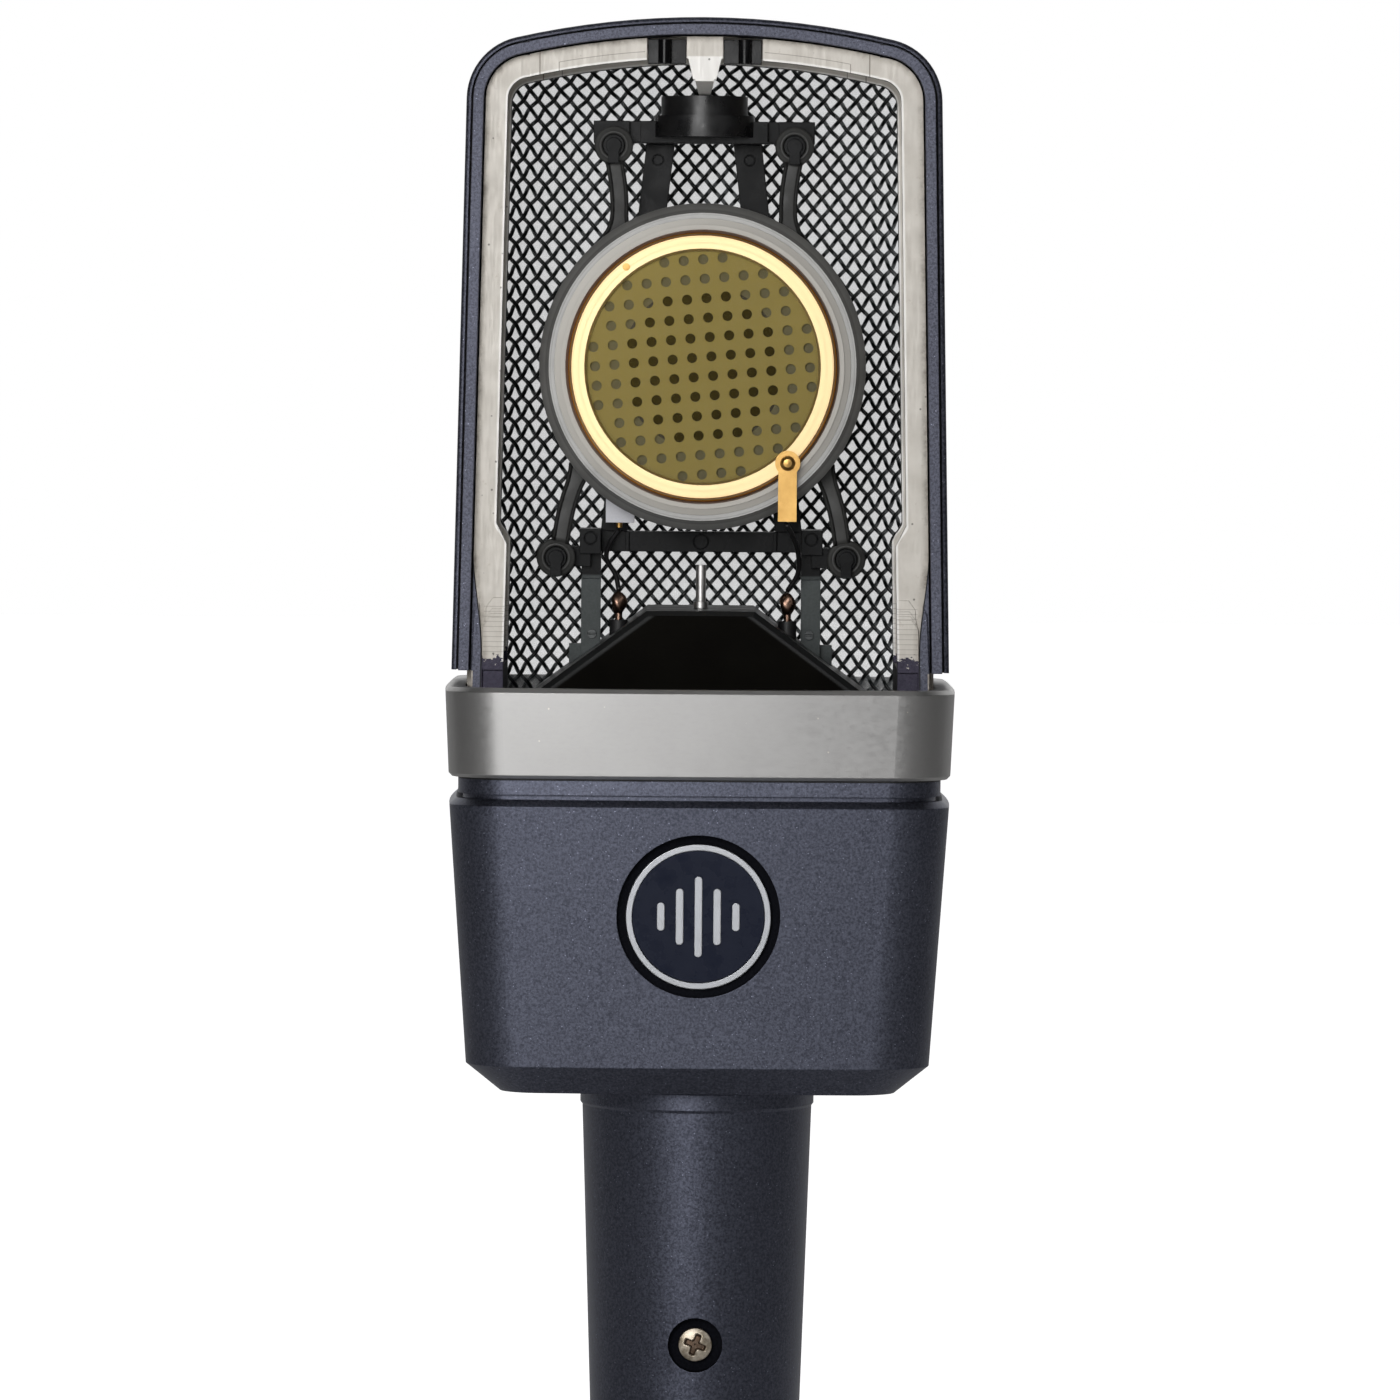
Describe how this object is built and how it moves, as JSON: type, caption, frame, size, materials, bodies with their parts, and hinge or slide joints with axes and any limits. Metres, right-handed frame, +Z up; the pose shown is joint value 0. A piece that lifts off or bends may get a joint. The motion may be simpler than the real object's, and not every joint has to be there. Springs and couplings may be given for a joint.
{
  "type": "condenser microphone",
  "caption": "Side-address large-diaphragm condenser microphone with its front grille off: gold capsule on rubber arms inside a hoop, satin collar, painted body and tapered handle.",
  "frame": {"origin": "centre of the handle's bottom end, at the middle of the object's footprint", "axes": "+Z up along the handle, -Y towards the front of the capsule, +X to the right seen from the front"},
  "size_m": [0.055, 0.043, 0.16],
  "materials": {
    "body_paint": "fine metallic satin",
    "cast_metal": "metallic paint outside, bare ledges",
    "nickel": "satin",
    "bright_nickel": "polished",
    "mesh_black": "satin",
    "mesh_fine": "fine weave",
    "frame_plastic": "moulded",
    "cover_plastic": "gloss",
    "rubber": "satin",
    "buffer_rubber": "glossy",
    "housing_black": "turned, black anodised",
    "gold": "gold plated",
    "film": "thin gold film",
    "backplate_brass": "lapped",
    "insulator": "white",
    "dark_insulator": "moulded",
    "solder": "tinned copper",
    "lead_sleeve": "insulated wire",
    "screw_brass": "tarnished nickel plate",
    "steel": "plated",
    "badge_blue": "enamel",
    "silver_trim": "satin",
    "board": "solder mask",
    "component": "sleeved",
    "film_box": "cast",
    "resistor": "lacquer"
  },
  "bodies": {
    "root": {"hoop_frame": "cast_metal", "hoop_screws": "steel", "grille_clip_posts": "frame_plastic", "rear_mesh_rim": "mesh_black", "rear_mesh_coarse": "mesh_black", "rear_mesh_fine": "mesh_fine", "top_buffer": "buffer_rubber", "capsule_frame": "frame_plastic", "frame_screws": "steel", "front_lead": "lead_sleeve", "rear_lead": "lead_sleeve", "solder_posts": "solder", "post_insulators": "dark_insulator", "solder_joints": "solder", "centre_pin": "bright_nickel", "diffuser_cover": "cover_plastic", "head_base_plate": "housing_black", "collar_ring": "nickel", "collar_gasket": "rubber", "body_shell": "body_paint", "badge_plate": "badge_blue", "badge_ring": "silver_trim", "badge_emblem": "silver_trim", "pad_switch_plate": "cover_plastic", "pad_switch_body": "dark_insulator", "lowcut_switch_plate": "cover_plastic", "lowcut_switch_body": "dark_insulator", "chassis_frame": "steel", "chassis_screws": "steel", "circuit_board": "board", "board_screws": "steel", "electrolytic_capacitors": "component", "film_capacitors": "film_box", "transistors": "component", "resistors": "resistor", "handle_tube": "body_paint", "handle_lock_nut": "steel", "connector_insert": "dark_insulator", "connector_pins": "bright_nickel", "connector_screw": "screw_brass", "ground_lug": "steel", "connector_wires": "lead_sleeve"},
    "capsule": {"suspension_ring": "rubber", "suspension_arms": "rubber", "capsule_housing": "housing_black", "capsule_seat_ring": "nickel", "gold_clamp_ring": "gold", "diaphragm": "film", "spacer_ring": "insulator", "backplate": "backplate_brass", "backplate_carrier": "dark_insulator", "capsule_rear_plate": "housing_black", "capsule_screws": "steel", "contact_screw": "gold", "contact_strip": "gold", "ring_dowel": "gold", "rear_terminal_block": "insulator", "rear_contact_strip": "gold"},
    "pad_knob": {"pad_switch_knob": "frame_plastic"},
    "lowcut_knob": {"lowcut_switch_knob": "frame_plastic"}
  },
  "joints": [
    {"name": "capsule_float", "type": "slide", "parent": "root", "child": "capsule", "axis": [0, 1, 0], "range_m": [-0.001, 0.001], "stiffness_N_per_m": 1500, "deforming": ["suspension_arms", "front_lead", "rear_lead"]},
    {"name": "pad_switch_slide", "type": "slide", "parent": "root", "child": "pad_knob", "axis": [0, 0, -1], "range_m": [0, 0.002]},
    {"name": "lowcut_switch_slide", "type": "slide", "parent": "root", "child": "lowcut_knob", "axis": [0, 0, -1], "range_m": [0, 0.002]}
  ]
}
